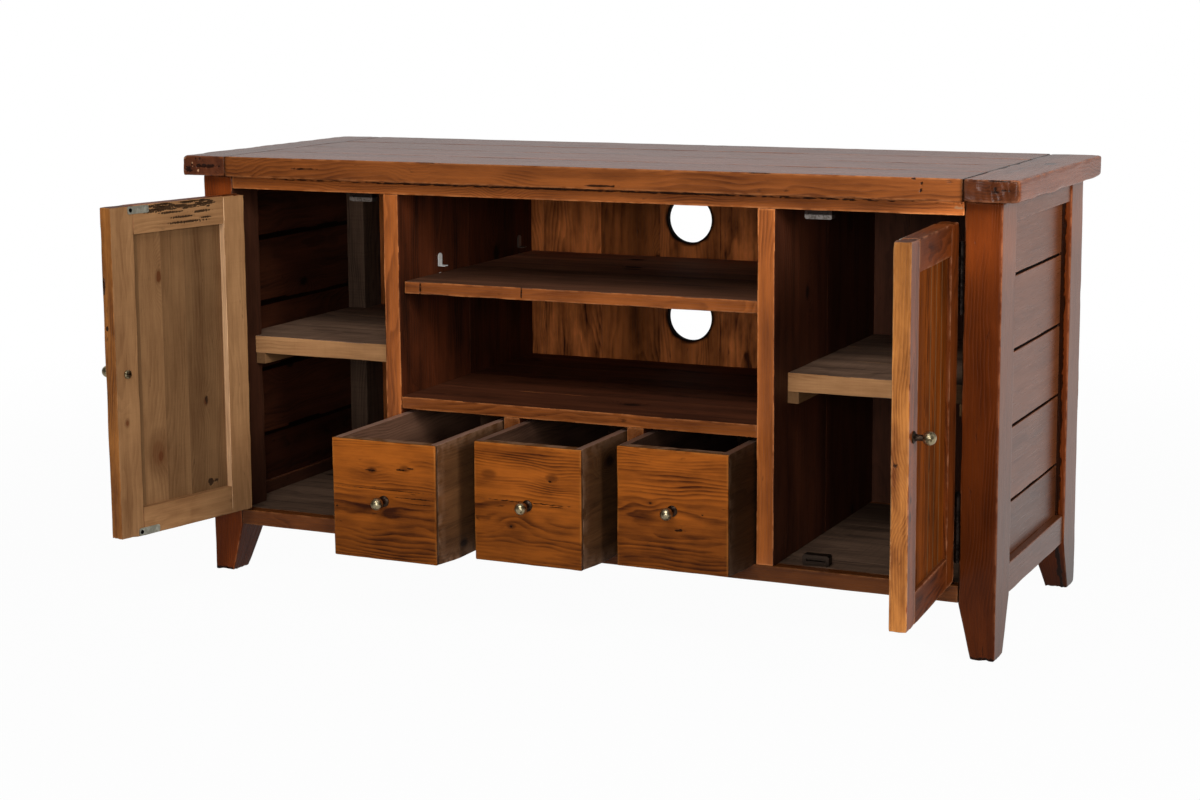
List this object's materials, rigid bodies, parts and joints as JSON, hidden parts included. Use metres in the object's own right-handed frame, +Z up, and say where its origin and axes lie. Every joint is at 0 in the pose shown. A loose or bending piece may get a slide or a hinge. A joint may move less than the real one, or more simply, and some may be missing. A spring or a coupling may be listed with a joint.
{
  "type": "media console",
  "caption": "Stained pine media console with framed doors on butt hinges, open middle bay with adjustable shelf, and drawers under a plank top",
  "frame": {"origin": "on the floor, under the middle of the case", "axes": "+X to the right of someone facing the front, +Y from front to back, +Z up; the front faces -Y"},
  "size_m": [1.4, 0.7764, 0.7],
  "materials": {
    "stained_pine": "warm brown stain under satin lacquer",
    "raw_pine": "unfinished, sawn and aged",
    "aged_brass": "antiqued, satin",
    "dark_iron": "blackened, satin",
    "bright_steel": "plated"
  },
  "bodies": {
    "case": {"top_plank_1": "stained_pine", "top_plank_2": "stained_pine", "top_plank_3": "stained_pine", "top_plank_4": "stained_pine", "top_end_left": "stained_pine", "top_end_right": "stained_pine", "post_front_left": "stained_pine", "post_front_right": "stained_pine", "post_rear_left": "stained_pine", "post_rear_right": "stained_pine", "front_top_rail": "stained_pine", "front_bottom_rail": "stained_pine", "rear_top_rail": "stained_pine", "rear_bottom_rail": "stained_pine", "side_top_rail_left": "stained_pine", "side_top_rail_right": "stained_pine", "side_bottom_rail_left": "stained_pine", "side_bottom_rail_right": "stained_pine", "side_planks_left": "stained_pine", "side_planks_right": "stained_pine", "back_boards": "stained_pine", "back_cable_board": "stained_pine", "divider_left": "stained_pine", "divider_right": "stained_pine", "floor_planks": "raw_pine", "fixed_shelf": "stained_pine", "adjustable_shelf": "stained_pine", "shelf_supports": "bright_steel", "partition_left": "stained_pine", "partition_right": "stained_pine", "side_shelf_left": "raw_pine", "side_shelf_right": "raw_pine", "shelf_cleats": "raw_pine", "magnetic_catches": "bright_steel", "hinge_post_leaves": "dark_iron", "hinge_pins": "dark_iron"},
    "door_left": {"door_left_stiles": "stained_pine", "door_left_rails": "stained_pine", "door_left_panel": "stained_pine", "door_left_knob": "aged_brass", "door_left_strikes": "bright_steel", "door_left_hinge_leaves": "dark_iron"},
    "door_right": {"door_right_stiles": "stained_pine", "door_right_rails": "stained_pine", "door_right_panel": "stained_pine", "door_right_knob": "aged_brass", "door_right_strikes": "bright_steel", "door_right_hinge_leaves": "dark_iron"},
    "drawer_1": {"drawer_1_front": "stained_pine", "drawer_1_box": "stained_pine", "drawer_1_bottom": "raw_pine", "drawer_1_knob": "aged_brass"},
    "drawer_2": {"drawer_2_front": "stained_pine", "drawer_2_box": "stained_pine", "drawer_2_bottom": "raw_pine", "drawer_2_knob": "aged_brass"},
    "drawer_3": {"drawer_3_front": "stained_pine", "drawer_3_box": "stained_pine", "drawer_3_bottom": "raw_pine", "drawer_3_knob": "aged_brass"}
  },
  "joints": [
    {"name": "door_left_swing", "type": "hinge", "parent": "case", "child": "door_left", "pos_m": [-0.61475, -0.249, 0.377], "axis": [0, 0, 1], "range_deg": [-72.5, 102.5]},
    {"name": "door_right_swing", "type": "hinge", "parent": "case", "child": "door_right", "pos_m": [0.61475, -0.249, 0.377], "axis": [0, 0, 1], "range_deg": [-93.5, 81.5]},
    {"name": "drawer_1_slide", "type": "slide", "parent": "case", "child": "drawer_1", "axis": [0, -1, 0], "range_m": [-0.218, 0.132]},
    {"name": "drawer_2_slide", "type": "slide", "parent": "case", "child": "drawer_2", "axis": [0, -1, 0], "range_m": [-0.159, 0.191]},
    {"name": "drawer_3_slide", "type": "slide", "parent": "case", "child": "drawer_3", "axis": [0, -1, 0], "range_m": [-0.106, 0.244]}
  ]
}
